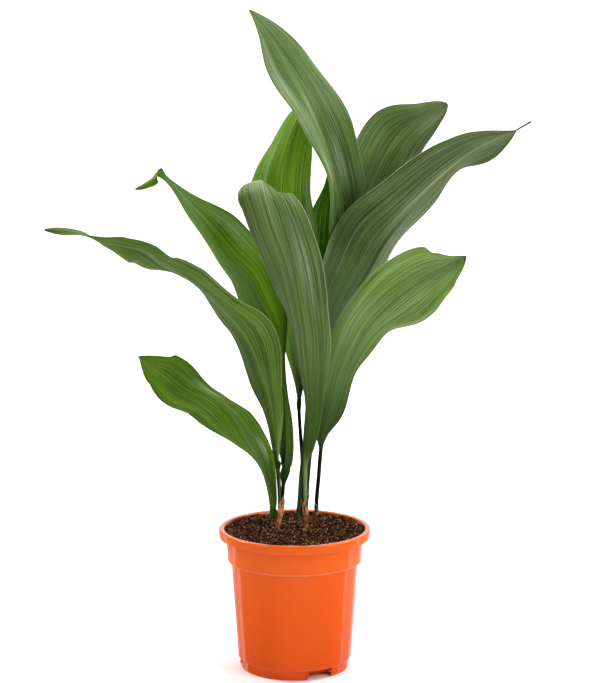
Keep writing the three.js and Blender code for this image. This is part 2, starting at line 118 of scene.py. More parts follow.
def new_material(name):
    """An empty material, its node tree and the Object coordinates, in metres, that its patterns read."""
    material = bpy.data.materials.new(name)
    material.use_nodes = True
    tree = material.node_tree
    tree.nodes.clear()
    return material, tree, add_node(tree, "ShaderNodeTexCoord").outputs["Object"]


def close_material(tree, inputs):
    shader = add_node(tree, "ShaderNodeBsdfPrincipled", inputs)
    add_node(tree, "ShaderNodeOutputMaterial", {"Surface": shader.outputs["BSDF"]})


# Sizes in the leaf's skin, in millimetres, and the colours that all leaves share.

VEIN_STREAK = 1.3
FINE_STREAK = 0.8
BROAD_STREAK = 11.0
RIB_SPACING = 2.8
FURROW = 0x14240A
# The next colour is the pale one of painted sheen on the leaves.
PAINTED_SHEEN = 0xC2CEB0
DRY_TIP = 0x5A5236


def leaf_skin(name, width, deep, light, rib, edge, stem, gloss, shine, base=None, base_to=0.3, seed=0.0):
    """Living aspidistra leaf: a waxy skin over parallel veins that run from the stem to the tip.

    The colour runs in long streaks between dark furrows and pale ribs, the wax gives a grey sheen
    broken up along them and the margin is a thin paler line. The first part of the blade, up to
    base_to of its length, is painted toward the base colour: painted shade where that colour is darker
    and painted light where it is paler. Shine lists the pale streaks of painted sheen: place and reach
    across, place and reach along, strength.
    Width is the blade's greatest width in millimetres, from which the streaks get their real size.
    """
    material, tree, place = new_material(name)
    blade = add_node(tree, "ShaderNodeUVMap", uv_map="blade").outputs["UV"]
    parts = add_node(tree, "ShaderNodeSeparateXYZ", {"Vector": blade})
    across = parts.outputs["X"]
    along = parts.outputs["Y"]

    def streaks(size, length, shift):
        """Noise drawn out along the veins, in streaks of a size in millimetres."""
        spot = add_node(tree, "ShaderNodeMapping", {
            "Vector": blade, "Scale": (width / size, length, 1.0), "Location": (0.0, 0.0, seed + shift)})
        return add_node(tree, "ShaderNodeTexNoise", {
            "Vector": spot.outputs[0], "Scale": 1.0, "Detail": 3.0}).outputs["Fac"]

    def distance(value, other):
        apart = add_node(tree, "ShaderNodeMath", {0: value, 1: other}, operation="SUBTRACT").outputs[0]
        return add_node(tree, "ShaderNodeMath", {0: apart}, operation="ABSOLUTE").outputs[0]

    def laid(under, tone, *masks):
        """The skin with a tone laid over it. A mask is a value, two limits and the strength at each of them."""
        strength = 1.0
        for value, low, high, at_low, at_high in masks:
            mask = add_node(tree, "ShaderNodeMapRange", {
                "Value": value, "From Min": low, "From Max": high, "To Min": at_low, "To Max": at_high},
                interpolation_type="SMOOTHSTEP")
            strength = add_node(tree, "ShaderNodeMath", {
                0: mask.outputs[0], 1: strength}, operation="MULTIPLY").outputs[0]
        return add_node(tree, "ShaderNodeMix", {
            0: strength, 6: under, 7: colour(tone)}, data_type="RGBA").outputs[2]

    thin = streaks(VEIN_STREAK, 2.4, 0.0)
    fine = streaks(FINE_STREAK, 4.0, 8.1)
    broad = streaks(BROAD_STREAK, 2.2, 3.7)

    # Veins: a stronger rib at every spacing, swayed a little by the broad streaks.
    sway = add_node(tree, "ShaderNodeMath", {0: broad, 1: 2.5}, operation="MULTIPLY")
    angle = add_node(tree, "ShaderNodeMath", {
        0: across, 1: 2.0 * math.pi * round(width / RIB_SPACING), 2: sway.outputs[0]}, operation="MULTIPLY_ADD")
    wave = add_node(tree, "ShaderNodeMath", {0: angle.outputs[0]}, operation="COSINE").outputs[0]

    skin = laid(colour(deep), light, (broad, 0.3, 0.7, 0.0, 1.0))
    skin = laid(skin, FURROW, (thin, 0.37, 0.48, 0.5, 0.0))
    skin = laid(skin, rib, (thin, 0.53, 0.64, 0.0, 0.3))
    skin = laid(skin, FURROW, (wave, -1.0, -0.4, 0.26, 0.0))
    skin = laid(skin, FURROW, (fine, 0.38, 0.47, 0.3, 0.0))
    skin = laid(skin, rib, (fine, 0.54, 0.64, 0.0, 0.2))

    # Painted sheen: paler streaks in patches about 70 mm long, at random places.
    patch = add_node(tree, "ShaderNodeTexNoise", {"Vector": place, "Scale": 14.0, "Detail": 1.0})
    skin = laid(skin, rib, (patch.outputs["Fac"], 0.4, 0.72, 0.0, 0.22), (fine, 0.42, 0.62, 0.15, 1.0))

    # Painted sheen: a few long pale streaks laid into the colour as highlights.
    for across_at, across_reach, along_at, along_reach, strength in shine:
        skin = laid(
            skin, PAINTED_SHEEN, (distance(across, across_at), 0.0, across_reach, 1.0, 0.0),
            (distance(along, along_at), 0.0, along_reach, 1.0, 0.0), (fine, 0.4, 0.6, 0.1 * strength, strength))

    # The midrib is a fine dark furrow with a paler line on its right; the margin is a paler edge.
    centre = add_node(tree, "ShaderNodeMath", {0: across, 1: 0.5}, operation="SUBTRACT").outputs[0]
    skin = laid(skin, edge, (centre, 0.006, 0.03, 0.28, 0.0), (centre, -0.012, 0.004, 0.0, 1.0))
    off_centre = distance(across, 0.5)
    skin = laid(skin, FURROW, (off_centre, 0.002, 0.012, 0.45, 0.0))
    skin = laid(skin, edge, (off_centre, 0.486, 0.497, 0.0, 0.5))

    # The first part of the blade is painted toward its base colour, painted shade where that colour is darker and
    # painted light where it is paler; the stem keeps its own colour and the very tip is dry and brown.
    if base:
        skin = laid(skin, base, (along, 0.0, base_to, 0.85, 0.0))
    skin = laid(skin, stem, (along, -0.02, 0.07, 0.95, 0.0))
    skin = laid(skin, DRY_TIP, (along, 0.975, 0.998, 0.0, 0.8))

    rough = add_node(tree, "ShaderNodeMapRange", {
        "Value": fine, "From Min": 0.35, "From Max": 0.65, "To Min": 0.34, "To Max": 0.5},
        interpolation_type="SMOOTHSTEP")
    relief = add_node(tree, "ShaderNodeMath", {0: thin, 1: 3.0, 2: wave}, operation="MULTIPLY_ADD")
    bump = add_node(tree, "ShaderNodeBump", {"Height": relief.outputs[0], "Strength": 0.6, "Distance": 0.0003})
    close_material(tree, {
        "Base Color": skin, "Roughness": rough.outputs[0], "Normal": bump.outputs[0],
        "IOR": 1.45, "Specular IOR Level": gloss})
    return material


# The pot's height, and the radii and heights over which the painted shade inside its rim fades, in millimetres.

POT_HEIGHT = 159.0
RIM_SHADE_RADII = (78.6, 79.6)
RIM_SHADE_HEIGHTS = (152.5, 153.5)


def moulded_plastic():
    """Injection-moulded polypropylene: an even glossy orange, clouded at 70 mm, with an 8 mm flow ripple."""
    material, tree, place = new_material("orange_moulded_polypropylene")
    parts = add_node(tree, "ShaderNodeSeparateXYZ", {"Vector": place})
    height = add_node(tree, "ShaderNodeMapRange", {"Value": parts.outputs["Z"], "From Max": MM * POT_HEIGHT})
    # The bead under the collar, at 0.77 to 0.78 of the height, is made paler: a painted highlight.
    shade = add_node(tree, "ShaderNodeValToRGB", {"Fac": height.outputs[0]}, stops=[
        (0.0, 0xDE5006), (0.5, 0xE5590C), (0.769, 0xE75D14), (0.774, 0xEC7C4A), (0.779, 0xEC7C4A),
        (0.784, 0xEC6420), (0.93, 0xEC6420), (0.96, 0xEA6218)]).outputs["Color"]
    cloud = add_node(tree, "ShaderNodeTexNoise", {"Vector": place, "Scale": 14.0, "Detail": 2.0})
    deeper = add_node(tree, "ShaderNodeMapRange", {
        "Value": cloud.outputs["Fac"], "From Min": 0.35, "From Max": 0.7, "To Max": 0.12})
    toned = add_node(tree, "ShaderNodeMix", {
        0: deeper.outputs[0], 6: shade, 7: colour(0xD95012)}, data_type="RGBA")
    # Painted shade: the inside of the wall just under the rim is darkened to brown.
    level = add_node(tree, "ShaderNodeVectorMath", {0: place, 1: (1.0, 1.0, 0.0)}, operation="MULTIPLY")
    from_axis = add_node(tree, "ShaderNodeVectorMath", {0: level.outputs[0]}, operation="LENGTH")
    inner = add_node(tree, "ShaderNodeMapRange", {
        "Value": from_axis.outputs["Value"], "From Min": MM * RIM_SHADE_RADII[0], "From Max": MM * RIM_SHADE_RADII[1],
        "To Min": 0.75, "To Max": 0.0})
    upper = add_node(tree, "ShaderNodeMapRange", {
        "Value": parts.outputs["Z"], "From Min": MM * RIM_SHADE_HEIGHTS[0], "From Max": MM * RIM_SHADE_HEIGHTS[1]})
    rim_shade = add_node(tree, "ShaderNodeMath", {0: inner.outputs[0], 1: upper.outputs[0]}, operation="MULTIPLY")
    rim_shaded = add_node(tree, "ShaderNodeMix", {
        0: rim_shade.outputs[0], 6: toned.outputs[2], 7: colour(0x8A4424)}, data_type="RGBA")
    ripple = add_node(tree, "ShaderNodeTexNoise", {"Vector": place, "Scale": 130.0, "Detail": 1.0})
    bump = add_node(tree, "ShaderNodeBump", {
        "Height": ripple.outputs["Fac"], "Strength": 0.08, "Distance": 0.0004})
    rough = add_node(tree, "ShaderNodeMapRange", {
        "Value": cloud.outputs["Fac"], "From Min": 0.3, "From Max": 0.7, "To Min": 0.13, "To Max": 0.18})
    close_material(tree, {
        "Base Color": rim_shaded.outputs[2], "Roughness": rough.outputs[0], "Normal": bump.outputs[0],
        "IOR": 1.49, "Specular IOR Level": 0.36})
    return material


def potting_peat(name, dark, mid, pale):
    """Damp milled peat: dark brown and matt, in grains of 1 to 4 mm with paler fibres."""
    material, tree, place = new_material(name)
    grain = add_node(tree, "ShaderNodeTexNoise", {
        "Vector": place, "Scale": 330.0, "Detail": 4.0, "Roughness": 0.7})
    lump = add_node(tree, "ShaderNodeTexVoronoi", {"Vector": place, "Scale": 260.0})
    shade = add_node(tree, "ShaderNodeValToRGB", {"Fac": grain.outputs["Fac"]}, stops=[
        (0.36, dark), (0.52, mid), (0.68, pale)]).outputs["Color"]
    bump_fine = add_node(tree, "ShaderNodeBump", {
        "Height": grain.outputs["Fac"], "Strength": 0.9, "Distance": 0.0012})
    bump = add_node(tree, "ShaderNodeBump", {
        "Height": lump.outputs["Distance"], "Strength": 0.5, "Distance": 0.001, "Normal": bump_fine.outputs[0]})
    close_material(tree, {
        "Base Color": shade, "Roughness": 0.92, "Normal": bump.outputs[0], "Specular IOR Level": 0.08})
    return material


def dry_husk(name, dark, mid, pale):
    """Dried leaf sheath: papery, nine fibres across, tan where thin and brown where thick, in 6 mm patches."""
    material, tree, place = new_material(name)
    blade = add_node(tree, "ShaderNodeUVMap", uv_map="blade").outputs["UV"]
    stretch = add_node(tree, "ShaderNodeMapping", {"Vector": blade, "Scale": (9.0, 3.0, 1.0)})
    fibre = add_node(tree, "ShaderNodeTexNoise", {"Vector": stretch.outputs[0], "Scale": 1.0, "Detail": 3.0})
    patch = add_node(tree, "ShaderNodeTexNoise", {"Vector": place, "Scale": 160.0, "Detail": 2.0})
    mixed = add_node(tree, "ShaderNodeMath", {
        0: patch.outputs["Fac"], 1: 0.8, 2: fibre.outputs["Fac"]}, operation="MULTIPLY_ADD")
    shade = add_node(tree, "ShaderNodeValToRGB", {"Fac": mixed.outputs[0]}, stops=[
        (0.74, dark), (0.88, mid), (1.0, pale)]).outputs["Color"]
    bump = add_node(tree, "ShaderNodeBump", {"Height": fibre.outputs["Fac"], "Strength": 0.8, "Distance": 0.0008})
    close_material(tree, {
        "Base Color": shade, "Roughness": 0.7, "Normal": bump.outputs[0], "Specular IOR Level": 0.2})
    return material


def loose_bits(name, stops, roughness):
    """Bits of peat and bark: each bit has a tone of its own, mottled at 1 mm."""
    material, tree, place = new_material(name)
    tone = add_node(tree, "ShaderNodeAttribute", attribute_name="tone").outputs["Fac"]
    mottle = add_node(tree, "ShaderNodeTexNoise", {"Vector": place, "Scale": 700.0, "Detail": 2.0})
    mixed = add_node(tree, "ShaderNodeMath", {
        0: mottle.outputs["Fac"], 1: 0.5, 2: tone}, operation="MULTIPLY_ADD")
    shade = add_node(tree, "ShaderNodeValToRGB", {"Fac": mixed.outputs[0]}, stops=[
        (0.25 + place_along, code) for place_along, code in stops]).outputs["Color"]
    bump = add_node(tree, "ShaderNodeBump", {"Height": mottle.outputs["Fac"], "Strength": 0.6, "Distance": 0.0006})
    close_material(tree, {
        "Base Color": shade, "Roughness": roughness, "Normal": bump.outputs[0], "Specular IOR Level": 0.1})
    return material


def woody_rhizome():
    """Creeping rhizome: a corky tan skin ringed with old leaf scars a few millimetres apart."""
    material, tree, place = new_material("corky_rhizome_skin")
    ring = add_node(tree, "ShaderNodeTexWave", {
        "Vector": place, "Scale": 75.0, "Distortion": 3.0, "Detail": 2.0}, bands_direction="DIAGONAL")
    cork = add_node(tree, "ShaderNodeTexNoise", {"Vector": place, "Scale": 260.0, "Detail": 4.0})
    mixed = add_node(tree, "ShaderNodeMath", {
        0: ring.outputs["Fac"], 1: 0.3, 2: cork.outputs["Fac"]}, operation="MULTIPLY_ADD")
    shade = add_node(tree, "ShaderNodeValToRGB", {"Fac": mixed.outputs[0]}, stops=[
        (0.4, 0x5A3F28), (0.62, 0x94704A), (0.85, 0xC3A27A)]).outputs["Color"]
    bump = add_node(tree, "ShaderNodeBump", {"Height": mixed.outputs[0], "Strength": 0.7, "Distance": 0.001})
    close_material(tree, {"Base Color": shade, "Roughness": 0.85, "Normal": bump.outputs[0]})
    return material


# Leaves. The spine is the midrib from the rhizome to the tip, and start is its point where the blade begins.
# Half is the greatest half width, and shape how it swells and narrows. Left and right are the leans that turn
# the blade's halves toward the front, in degrees, at even steps to the tip. A wave is the height of the ripple
# along that margin, how many ripples, and where they begin.

STEM_BOTTOM = 141.3
STEM_RADIUS = 2.1
SKIN = 0.6
MIDRIB_TIP_RADIUS = 0.6
KEEL_HALF_WIDTH = 1.6
CROSS_BULGE = 0.06
FULL_PLEAT_WIDTH = 25.0
BLADE_ROWS = 130
STEM_ROWS = 26
BASE_ROWS = 24
HALF_COLUMNS = 40
COLUMNS = 2 * HALF_COLUMNS + 1
PLEAT = 0.28
SPAN_STEPS = 60

LEAVES = {
    "leaf_top": dict(
        spine=[(10.5, 57, STEM_BOTTOM), (11, 58, 155), (12, 60, 211), (16, 62, 269), (26, 70, 349), (40, 84, 416),
               (53, 82, 468), (55, 78, 506), (49, 72, 539), (37, 58, 577), (18, 34, 626), (-4, 12, 667),
               (-26, -6, 703), (-49, -22, 732)],
        start=5, half=42, shape=(0.9, 0.8),
        left=(50, 55, 68, 76, 60, 40, 70), right=(-20, -30, -32, -32, -44, -48, -50),
        wave_left=(2, 3, 0.1), wave_right=(2, 3.5, 0.4),
        skin=dict(
            deep=0x446216, light=0x628232, rib=0xA9B994, edge=0xA4B48C, stem=0x274010,
            gloss=0.3, base=0x2A460C, base_to=0.42,
            shine=((0.12, 0.14, 0.8, 0.24, 0.55), (0.12, 0.1, 0.46, 0.14, 0.5), (0.6, 0.12, 0.42, 0.14, 0.4)))),
    "leaf_right_large": dict(
        spine=[(2, 30, STEM_BOTTOM), (2, 30, 158), (5, 34, 182), (7, 38, 212), (12, 42, 250),
               (20, 46, 295), (29, 50, 338), (40, 52, 366), (59, 54, 400), (82, 58, 435), (109, 64, 480),
               (156, 72, 531), (192, 78, 564), (216, 82, 580), (242, 84, 593), (255, 86, 601),
               (268, 88, 608)],
        start=6, half=60, shape=(0.75, 0.85), thread=0.055, thread_half=1.3,
        left=(30, 15, 4, 4, 25, 30, 34, 39, 60), right=(-60, -68, -72, -72, -76, -70, -81, -30, -36),
        wave_left=(2, 3, 0.6), wave_right=(2.5, 4, 0.2),
        skin=dict(
            deep=0x3E561A, light=0x5C7430, rib=0x9CA884, edge=0xB4BA98, stem=0x1F4A0E,
            gloss=0.28, base=0x6E845A, base_to=0.45,
            shine=((0.86, 0.12, 0.36, 0.24, 0.6), (0.4, 0.06, 0.62, 0.2, 0.35), (0.5, 0.4, 0.95, 0.2, 0.4)))),
    "leaf_right_back": dict(
        spine=[(12, 64, STEM_BOTTOM), (13, 66, 156), (16, 72, 208), (23, 80, 265), (35, 88, 334), (52, 94, 403),
               (66, 98, 458), (79, 100, 500), (92, 102, 538), (107, 103, 570), (127, 104, 597), (149, 104, 614),
               (174, 104, 627)],
        start=6, half=41, shape=(1.1, 0.7),
        left=(-20, -20, -16, -10, -4, 52, 50), right=(-20, -20, -20, -25, -34, -38, -30),
        wave_left=(2.5, 3, 0.3), wave_right=(2, 3, 0.8),
        skin=dict(
            deep=0x607C38, light=0x82A052, rib=0x9DAC80, edge=0xB9C2A2, stem=0x2C420F,
            gloss=0.35, shine=((0.7, 0.24, 0.88, 0.16, 0.6),))),
    "leaf_left_back": dict(
        spine=[(9, 51.5, STEM_BOTTOM), (9, 52, 159), (9, 54, 195), (8, 58, 229), (5, 62, 275), (4, 68, 309),
               (1, 75, 355), (-5, 80, 417), (-12, 82, 474), (-17, 83, 514), (-17, 84, 542), (-12, 85, 570),
               (-1, 90, 603), (19, 98, 640)],
        start=4, half=40, shape=(0.9, 0.7),
        left=(-80, -60, -50, -34, -24, -56, -60), right=(70, 46, 34, 14, 20, 0, 0),
        wave_left=(1.5, 3, 0.5), wave_right=(2, 3, 0.1),
        skin=dict(
            deep=0x588804, light=0x80B218, rib=0x9AB84A, edge=0x8AA860, stem=0x0A1204,
            gloss=0.22, base=0x0C1404, base_to=0.26,
            shine=((0.24, 0.07, 0.72, 0.2, 0.45), (0.36, 0.06, 0.56, 0.08, 0.6), (0.93, 0.06, 0.62, 0.14, 0.8)))),
    "leaf_front": dict(
        spine=[(13, -2, STEM_BOTTOM), (13, -2, 156), (12, -6, 192), (12, -8, 226), (14, -12, 256), (15, -20, 302),
               (11, -28, 343), (7, -36, 387), (-1, -44, 431), (-10, -52, 468), (-23, -58, 505), (-32, -58, 535),
               (-36, -46, 549), (-37, -22, 550), (-38, 6, 542)],
        start=3, half=40, shape=(0.9, 0.6), facing=(1, 0, 0),
        left=(-70, -80, -72, -60, -44, -36, 0), right=(40, 46, 32, 24, 12, -36, -30),
        wave_left=(1.5, 4, 0.0), wave_right=(2, 4, 0.3),
        skin=dict(
            deep=0x4A6622, light=0x688432, rib=0x9CAA7C, edge=0xB2BE9A, stem=0x8AA668,
            gloss=0.28, base=0x3A5A16, base_to=0.56,
            shine=((0.76, 0.14, 0.62, 0.2, 0.35), (0.4, 0.3, 0.86, 0.16, 0.25)))),
    "leaf_left_upper": dict(
        spine=[(-19, -1, STEM_BOTTOM), (-18.5, -1, 157), (-15.5, 2, 173), (-14, 6, 186), (-13, 8, 203),
               (-10.5, 14, 231), (-10, 28, 264), (-12, 34, 298), (-16, 38, 337), (-23, 38, 377),
               (-37, 34, 407), (-52, 28, 436), (-75, 20, 461), (-95, 12, 491), (-112, 4, 516),
               (-134, -4, 548), (-148, -10, 558), (-155, -18, 551), (-172, -34, 541)],
        start=4, half=42, shape=(0.7, 0.8),
        left=(-88, -56, -35, -58, -68, -70, -40), right=(-48, -78, -82, -48, -8, 64, 105),
        wave_left=(2, 4, 0.2), wave_right=(2, 4, 0.7),
        skin=dict(
            deep=0x5E8C08, light=0x82B21A, rib=0x88A838, edge=0x9AB078, stem=0x0E1606,
            gloss=0.12, base=0x102A00, base_to=0.92,
            shine=((0.85, 0.16, 0.68, 0.18, 0.45), (0.5, 0.3, 0.84, 0.16, 0.4)))),
    "leaf_left_long": dict(
        spine=[(-19.5, 36, STEM_BOTTOM), (-17.2, 35, 161), (-17.2, 31, 188), (-19, 25, 218), (-20, 14, 243),
               (-22, 6, 269), (-26, -2, 299), (-35, -9, 331), (-50, -19, 370), (-62, -28, 391),
               (-84, -42, 418), (-108, -58, 442), (-122, -66, 452), (-143, -76, 465), (-159, -86, 479),
               (-181, -95, 487), (-201, -104, 492), (-223, -112, 502), (-244, -118, 506),
               (-260, -122, 507)],
        start=3, half=36, shape=(0.6, 0.8), stem=2.4,
        left=(-60, -68, -56, -64, -76, -92, -42, -88, -124), right=(85, 76, 56, 20, 45, 50, 53, 66, 160),
        wave_left=(2, 4, 0.5), wave_right=(1.5, 4, 0.1),
        skin=dict(
            deep=0x42640A, light=0x5E801A, rib=0x93A85A, edge=0xA0B078, stem=0x5A7650,
            gloss=0.22, shine=((0.6, 0.1, 0.7, 0.12, 0.5),))),
    "leaf_left_low": dict(
        spine=[(-23, 43.5, STEM_BOTTOM), (-24, 44, 157), (-25, 43, 180), (-31, 41, 200), (-41, 34, 229),
               (-55, 26, 255), (-75, 16, 288), (-93, 4, 307), (-118, -8, 322), (-141, -20, 342),
               (-151, -33, 348), (-170, -48, 361)],
        start=1, half=40, shape=(0.84, 0.74), stem=4.2,
        left=(-36, -86, -53, -30, -26, -3, -81), right=(76, 66, 48, 55, 63, 33, 18),
        wave_left=(2.5, 3, 0.7), wave_right=(2, 3, 0.3),
        skin=dict(
            deep=0x386000, light=0x568002, rib=0x8AAA30, edge=0x90A858, stem=0x2C5610,
            gloss=0.12,
            shine=((0.84, 0.1, 0.68, 0.1, 0.6), (0.83, 0.1, 0.33, 0.08, 0.6), (0.5, 0.04, 0.3, 0.12, 0.3)))),
    "leaf_right_low": dict(
        spine=[(22, 62, STEM_BOTTOM), (25, 66, 160), (25, 64, 175), (27, 58, 200), (29, 48, 230), (32, 38, 258),
               (41, 30, 283), (47, 24, 308), (56, 16, 339), (69, 8, 369), (85, 0, 394), (110, -10, 420),
               (137, -22, 441), (162, -34, 456), (174, -50, 466), (183, -72, 474)],
        start=4, half=40, shape=(1.1, 0.6), stem=2.4,
        left=(20, 24, 40, 32, 14, 12, 44), right=(-20, -34, -50, -42, -8, 38, 50),
        wave_left=(2, 3, 0.4), wave_right=(2.5, 4, 0.6),
        skin=dict(
            deep=0x6E962E, light=0x94B45A, rib=0xBCD48C, edge=0xBECB9E, stem=0x16180A,
            gloss=0.24, base=0x123400, base_to=0.95,
            shine=((0.24, 0.14, 0.5, 0.16, 0.3), (0.5, 0.4, 0.92, 0.2, 0.4)))),
    "leaf_centre_back": dict(
        spine=[(6, 64, STEM_BOTTOM), (6, 68, 154), (9, 74, 207), (13, 80, 265), (20, 86, 346), (27, 88, 404),
               (29, 90, 450), (30, 92, 484), (33, 94, 512), (40, 96, 541), (48, 100, 575)],
        start=4, half=16, shape=(0.8, 0.8),
        left=(20, 20, 20, 20, 24, 60, 20), right=(-20, -20, -20, -20, -20, -20, -20),
        wave_left=(1, 3, 0.0), wave_right=(1, 3, 0.5),
        skin=dict(
            deep=0x6AA40C, light=0x8ABE22, rib=0x9CB860, edge=0x94A87C, stem=0x121E04,
            gloss=0.2, shine=((0.2, 0.1, 0.6, 0.3, 0.8), (0.42, 0.06, 0.66, 0.2, 0.6)))),
}


def through(values, x):
    """Smooth values at positions x, where x runs from 0 to len(values) - 1."""
    values = np.asarray(values, float)
    padded = np.concatenate([[2 * values[0] - values[1]], values, [2 * values[-1] - values[-2]]])
    x = np.asarray(x, float)
    span = np.clip(np.floor(x).astype(int), 0, len(values) - 2)
    f = x - span
    a, b, c, d = (padded[span + k] for k in range(4))
    return 0.5 * (2 * b + (c - a) * f + (2 * a - 5 * b + 4 * c - d) * f ** 2 + (3 * b - a - 3 * c + d) * f ** 3)


def evenly(values, t):
    return through(values, np.asarray(t) * (len(values) - 1))


def unit(vectors):
    return vectors / np.linalg.norm(vectors, axis=-1, keepdims=True)


class Midrib:
    """The curve from the rhizome to the tip, and its frame at any distance along it."""

    def __init__(self, leaf):
        spans = len(leaf["spine"]) - 1
        steps = np.linspace(0, spans, SPAN_STEPS * spans + 1)
        self.points = np.stack([through([p[k] for p in leaf["spine"]], steps) for k in range(3)], -1)
        lengths = np.linalg.norm(np.diff(self.points, axis=0), axis=1)
        self.arc = np.concatenate([[0.0], np.cumsum(lengths)])
        self.total = self.arc[-1]
        self.start = self.arc[SPAN_STEPS * leaf["start"]]
        self.facing = leaf.get("facing")

    def at(self, distance):
        distance = np.clip(distance, 0.0, self.total)
        return np.stack([np.interp(distance, self.arc, self.points[:, k]) for k in range(3)], -1)

    def frame(self, distance):
        along = unit(self.at(distance + 0.5) - self.at(distance - 0.5))
        if self.facing:
            facing = np.array(self.facing, float)
            side = facing - along * (along @ facing)[..., None]
        else:
            side = np.cross(along, np.array([0.0, -1.0, 0.0]))
        side = unit(side)
        return self.at(distance), side, np.cross(side, along)


def half_width(leaf, t):
    rise, fall = leaf["shape"]
    peak = rise / (rise + fall)
    u = np.minimum(t / (1 - leaf.get("thread", 0.0)), 1.0)
    blade = leaf["half"] * (u / peak) ** rise * ((1 - u) / (1 - peak)) ** fall
    stem = leaf.get("stem", 2.0) * np.sqrt(1 - t)
    return np.maximum(np.maximum(blade, stem), leaf.get("thread_half", 0.35))


def round_rows(frame_of, radius):
    """Points round a stem, its front and its back each seen from left to right."""
    point, side, out = frame_of
    angle = math.pi * (1 - (np.arange(COLUMNS) + 0.5) / COLUMNS)
    faces = []
    for sign in (1.0, -1.0):
        ring = np.cos(angle)[None, :, None] * side[:, None] + sign * np.sin(angle)[None, :, None] * out[:, None]
        faces.append(point[:, None] + radius * ring)
    return faces


def blade_rows(leaf, frame_of, t, seed):
    """Points across the blade's front and back, pleated along its veins."""
    point, side, out = frame_of
    width = half_width(leaf, t)
    settle = np.minimum(t / 0.05, 1.0)
    radius = leaf.get("stem", STEM_RADIUS)
    rib = radius + (MIDRIB_TIP_RADIUS - radius) * t ** 0.4
    strength = np.random.default_rng(seed).uniform(0.5, 1.3, COLUMNS)
    front = np.zeros((len(t), COLUMNS, 3))
    back = np.zeros((len(t), COLUMNS, 3))
    halves = []
    for hand, leans, wave in ((-1, leaf["left"], leaf["wave_left"]), (1, leaf["right"], leaf["wave_right"])):
        lean = np.radians(evenly(leans, t)) * settle
        outward = hand * np.cos(lean)[:, None] * side + np.sin(lean)[:, None] * out
        normal = -hand * np.sin(lean)[:, None] * side + np.cos(lean)[:, None] * out
        ripple = wave[0] * np.sin(2 * math.pi * (wave[1] * t + wave[2]))
        ripple = ripple * np.sqrt(np.sin(math.pi * np.clip(t, 0, 1)))
        halves.append((hand, outward, normal, ripple))
    middle = unit(halves[0][2] + halves[1][2])
    for hand, outward, normal, ripple in halves:
        for j in range(HALF_COLUMNS + 1):
            column = HALF_COLUMNS + hand * j
            q = j / HALF_COLUMNS
            if j == 0 and hand == 1:
                continue
            near = math.exp(-(q * 7.0) ** 2)
            across = unit(near * middle + (1 - near) * normal)
            pleat = (PLEAT if j % 4 == 0 else -PLEAT / 3) * strength[column]
            pleat = pleat * np.minimum(width / FULL_PLEAT_WIDTH, 1.0)
            pleat = pleat * (0.0 if j in (0, HALF_COLUMNS) else 1.0)
            height = CROSS_BULGE * width * 4 * q * (1 - q) + ripple * q * q + pleat
            centre = point + outward * (width * q)[:, None] + normal * height[:, None]
            keel = np.exp(-(q * width / KEEL_HALF_WIDTH) ** 2) * rib
            thick = SKIN / 2 * (1.0 - 0.45 * q)
            front[:, column] = centre + across * (thick + 0.25 * keel)[:, None]
            back[:, column] = centre - across * (thick + 0.8 * keel)[:, None]
    return front, back


def grid_faces(rows, columns, offset, flip):
    i, j = np.meshgrid(np.arange(rows - 1), np.arange(columns - 1), indexing="ij")
    a = offset + i * columns + j
    corners = [a, a + 1, a + columns + 1, a + columns]
    if flip:
        corners.reverse()
    return np.stack(corners, -1).reshape(-1, 4)


def closed_sheet(name, front, back, uv_front, material):
    """One closed mesh from a front and a back grid, in millimetres, with its UV map."""
    rows, columns = front.shape[:2]
    under = rows * columns
    at = np.arange(rows * columns).reshape(rows, columns)
    faces = [grid_faces(rows, columns, 0, False), grid_faces(rows, columns, under, True)]
    left = np.stack([at[:-1, 0], at[1:, 0], at[1:, 0] + under, at[:-1, 0] + under], -1)
    right = np.stack([at[:-1, -1], at[:-1, -1] + under, at[1:, -1] + under, at[1:, -1]], -1)
    low = np.stack([at[0, :-1], at[0, :-1] + under, at[0, 1:] + under, at[0, 1:]], -1)
    top = np.stack([at[-1, :-1], at[-1, 1:], at[-1, 1:] + under, at[-1, :-1] + under], -1)
    faces = np.concatenate(faces + [left, right, low, top])
    corners = np.concatenate([front.reshape(-1, 3), back.reshape(-1, 3)]) * MM
    piece = mesh_object(name, corners.tolist(), faces.tolist(), material)
    layer = piece.data.uv_layers.new(name="blade")
    flat = np.concatenate([uv_front.reshape(-1, 2)] * 2)
    layer.data.foreach_set("uv", flat[faces.reshape(-1)].astype(np.float32).reshape(-1))
    return piece


def make_leaf(number, name, leaf):
    midrib = Midrib(leaf)
    radius = leaf.get("stem", STEM_RADIUS)
    stem_at = np.linspace(0.0, 1.0, STEM_ROWS, endpoint=False) * midrib.start
    t = np.concatenate([
        np.linspace(0.0, 0.1, BASE_ROWS, endpoint=False), np.linspace(0.1, 0.997, BLADE_ROWS - BASE_ROWS)])
    blade_at = midrib.start + t * (midrib.total - midrib.start)
    stem = round_rows(midrib.frame(stem_at), radius)
    base = round_rows(midrib.frame(blade_at), radius)
    blade = blade_rows(leaf, midrib.frame(blade_at), t, number)
    amount = np.minimum(t / 0.06, 1.0)[:, None, None]
    front, back = (np.concatenate([stem[k], base[k] * (1 - amount) + blade[k] * amount]) for k in (0, 1))
    along = np.concatenate([(stem_at - midrib.start) / (midrib.total - midrib.start), t])
    uv = np.stack(np.meshgrid(along, np.linspace(0.0, 1.0, COLUMNS), indexing="ij")[::-1], -1)
    material = leaf_skin("waxy_" + name, 2.0 * leaf["half"], seed=5.3 * number, **leaf["skin"])
    piece = closed_sheet(name + "_veined", front, back, uv, material)
    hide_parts(name)
    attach(piece, "root")


for leaf_number, (leaf_name, leaf_spec) in enumerate(LEAVES.items()):
    make_leaf(leaf_number, leaf_name, leaf_spec)


# Dry sheaths: torn husks of old leaves, each wrapped part of the way round a stem. Low and high are distances
# along the midrib, turn and reach are the husk's facing and half angle, and teeth cut back its torn end.

